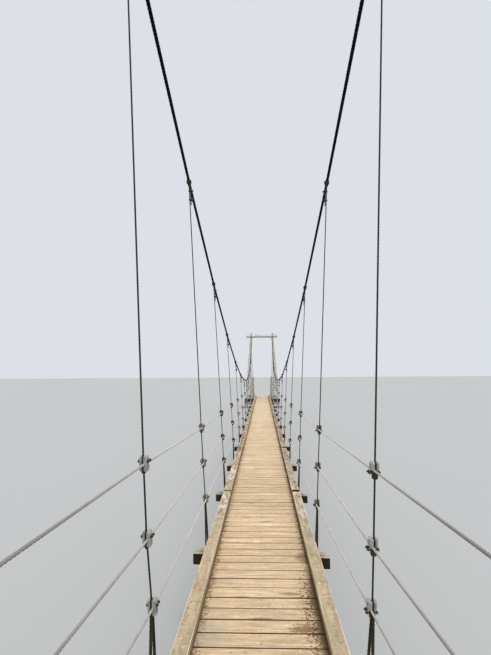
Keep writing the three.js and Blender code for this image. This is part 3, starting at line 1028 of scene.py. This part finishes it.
# from the fork of a hanger down, under the bearer and up again
def slingRoute(fork, n, across):
    foot = across * sling["footOut"]
    middle = bearerAt(n, foot)
    reach = bearer["width"] / 2 + sling["diameter"] / 2
    under = boardBottom - bearer["depth"] - sling["diameter"] / 2
    tuck, apart, down = -across * sling["tuck"], sling["apart"], sling["down"]
    first, last = sling["tops"]
    return [
        fork + (tuck, -apart, first), fork + (0, -apart, -down),
        (foot, middle - reach, boardBottom), (foot, middle - reach, under),
        (foot, middle + reach, under), (foot, middle + reach, boardBottom),
        fork + (0, apart, -down), fork + (tuck, apart, last),
    ]


for side, across in sides:
    for n, y in enumerate(stations):
        topY = y + hanger["topMoved"].get((side, n), 0)
        top = np.array((across * hangerOut(cableHeight(topY)), topY, cableHeight(topY)))
        crossings = crossingsAt(side, across, n)
        fork = crossings[-1]
        down = unit(crossings[0] - top)
        sideways = unit(np.cross((0, 1, 0), down)) * across
        eye = eyeRoute(hanger, hanger["tail"] + dice.uniform(*hanger["tailDrift"]))
        upper = [top + sideways * u + down * v for u, v in eye]
        lowest = fork + unit(fork - crossings[1]) * hanger["below"]
        route = roundCorners([*upper, *crossings, lowest], hanger["bend"])
        addRope(f"hanger_ropes_{side}", route, hanger)
        route = roundCorners(slingRoute(fork, n, across), sling["bend"])
        addRope(f"bearer_slings_{side}", route, sling)
        for clipDown in hanger["clips"]:
            addClip("clip_bolts", top + down * clipDown, down, -sideways)
        lie = (0, 1, 2 * layout["cableSteepness"] * (topY - layout["cableLowAt"]))
        sleeve = turned(hanger["sleeve"], around=16)
        addPlaced("cable_sleeves", sleeve, top, along=lie, up=(1, 0, 0))
        litAndClean = dice.uniform(*clamp["litAndClean"].get((side, n), clamp["dull"])) if n else 1.0
        for crossing in crossings:
            addClamp(crossing, -down, (across, 0, 0), clamp[side], litAndClean)
    makePiece(f"hanger_ropes_{side}", hangerRope, (f"hanger_net_{side}",),
              smoothTo=180)
    makePiece(f"bearer_slings_{side}", slingRope, smoothTo=180)
makePiece("cable_sleeves", darkSteel, smoothTo=35)
print("hangers hung:", 2 * len(stations))

# Rail ropes, three a side, each end made off in an eye bolt through its post.
railSize = dict(
    diameter=0.011, lay=0.11, step=0.0135, inset=0.01, eye=0.016,
    beside=0.01, gather=(0.08, 0.11), clip=0.11, tail=0.16, bend=0.01,
)
eyeBolt = dict(
    ring=0.0145, rod=0.005, standOff=0.05, shank=0.0055, past=0.15,
    ropeIn=0.012, sunk=0.001, outerNut=0.75, innerNut=0.6,
)
postFace = towerAt - leg / 2


# A ring round the rope's eye and a shank through the post, with a nut on each face.
def addEyeBolt(ring, toward):
    turns = np.linspace(0, 2 * math.pi, 21)
    circle = [ring + eyeBolt["ring"] * np.array((0, math.cos(t), math.sin(t))) for t in turns]
    addToPile("eye_bolts", sweep(circle, [eyeBolt["rod"]] * 8))
    length = eyeBolt["standOff"] + eyeBolt["past"] - eyeBolt["ring"]
    shank = turned(((0, eyeBolt["shank"]), (length, eyeBolt["shank"])), around=10)
    addPlaced("eye_bolts", shank, ring + (0, toward * eyeBolt["ring"], 0), along=(0, toward, 0))
    sunk = eyeBolt["sunk"]
    for depth, away, size in ((post - sunk, toward, "outerNut"), (sunk, -toward, "innerNut")):
        seat = (ring[0], toward * (postFace + depth), ring[2])
        addNut(seat, (0, away, 0), eyeBolt[size])


for side, across in sides:
    inset = np.array((across * railSize["inset"], 0, 0))
    for n, rail in enumerate(layout["rails"]):
        middle = [crossingsAt(side, across, at)[n] - inset for at in range(len(stations))]
        eyes = {}
        for end, toward in ends:
            ringY = toward * (postFace - eyeBolt["standOff"])
            ring = np.array((across * tower["postOut"], ringY, railHeight(rail, stations[0])))
            along = unit((middle[0] if end == "near" else middle[-1]) - ring)
            sideways = unit(np.cross(along, (0, 0, 1)))
            centre = ring + along * eyeBolt["ropeIn"]
            eye = eyeRoute(railSize, railSize["tail"])
            eyes[end] = [centre + sideways * u + along * v for u, v in eye]
            addClip("clamp_plates", centre + along * railSize["clip"], along, -sideways)
            addEyeBolt(ring, toward)
        nearEye = roundCorners(eyes["near"], railSize["bend"], steps=3)
        farEye = roundCorners(eyes["far"][::-1], railSize["bend"], steps=3)
        name = f"rail_rope_{side}_{n + 1}"
        addRope(name, [*nearEye, *middle, *farEye], railSize)
        makePiece(name, railRope, smoothTo=180)
makePiece("eye_bolts", paleSteel, smoothTo=40)
makePiece("clamp_plates", clampSteel)
makePiece("clip_bolts", darkSteel, smoothTo=40)
makePiece("nuts_and_washers", darkSteel, smoothTo=35)
print("rails and fittings made")

# Floor and light. Angles are degrees.
studio = dict(
    floor=(0.4, 0.4, 0.39), floorSize=400, floorAt=(0, 0, -0.001),
    sky=(0.9, 0.94, 1.0), skyStrength=0.8,
    sunStrength=2.24, sunAngle=22, sunTurn=(22, 4, 10),
)
bpy.ops.mesh.primitive_plane_add(size=studio["floorSize"], location=studio["floorAt"])
floor = bpy.context.object
floor.name = "studio_floor"
floorFinish, shader = startFinish("studio_floor_paint", {"roughness": 0.95})
shader.inputs["Base Color"].default_value = (*studio["floor"], 1)
floor.data.materials.append(floorFinish)
floor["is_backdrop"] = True

world = bpy.data.worlds.new("studio_sky")
bpy.context.scene.world = world
world.use_nodes = True
background = world.node_tree.nodes["Background"]
background.inputs["Color"].default_value = (*studio["sky"], 1)
background.inputs["Strength"].default_value = studio["skyStrength"]

sunLight = bpy.data.lights.new("soft_sun", "SUN")
sunLight.energy = studio["sunStrength"]
sunLight.angle = math.radians(studio["sunAngle"])
sun = bpy.data.objects.new("soft_sun", sunLight)
sun.rotation_euler = [math.radians(turn) for turn in studio["sunTurn"]]
bpy.context.scene.collection.objects.link(sun)
bpy.context.scene.view_settings.view_transform = "Standard"

# Camera. Left, up and roll are radians, lens and sensor millimetres.
viewpoint = dict(
    at=(0.026, -15.088, 2.2), left=0.03513, up=0.0945, roll=-0.00596,
    lens=26.0915, sensor=36, nearest=0.05, farthest=500,
)
lens = bpy.data.cameras.new("deck_view")
lens.lens = viewpoint["lens"]
lens.sensor_width = viewpoint["sensor"]
lens.clip_start = viewpoint["nearest"]
lens.clip_end = viewpoint["farthest"]
camera = bpy.data.objects.new("deck_view", lens)
camera.location = viewpoint["at"]
bpy.context.scene.collection.objects.link(camera)
bpy.context.scene.camera = camera
aim = Matrix.Rotation(viewpoint["left"], 4, "Z")
aim = aim @ Matrix.Rotation(math.pi / 2 + viewpoint["up"], 4, "X")
aim = aim @ Matrix.Rotation(viewpoint["roll"], 4, "Z")
camera.rotation_mode = "QUATERNION"
camera.rotation_quaternion = aim.to_quaternion()

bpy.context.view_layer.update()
triangles = {}
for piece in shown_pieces():
    piece.data.calc_loop_triangles()
    triangles[piece.name] = len(piece.data.loop_triangles)
print("triangles:", sum(triangles.values()), "largest:", max(triangles.values()))
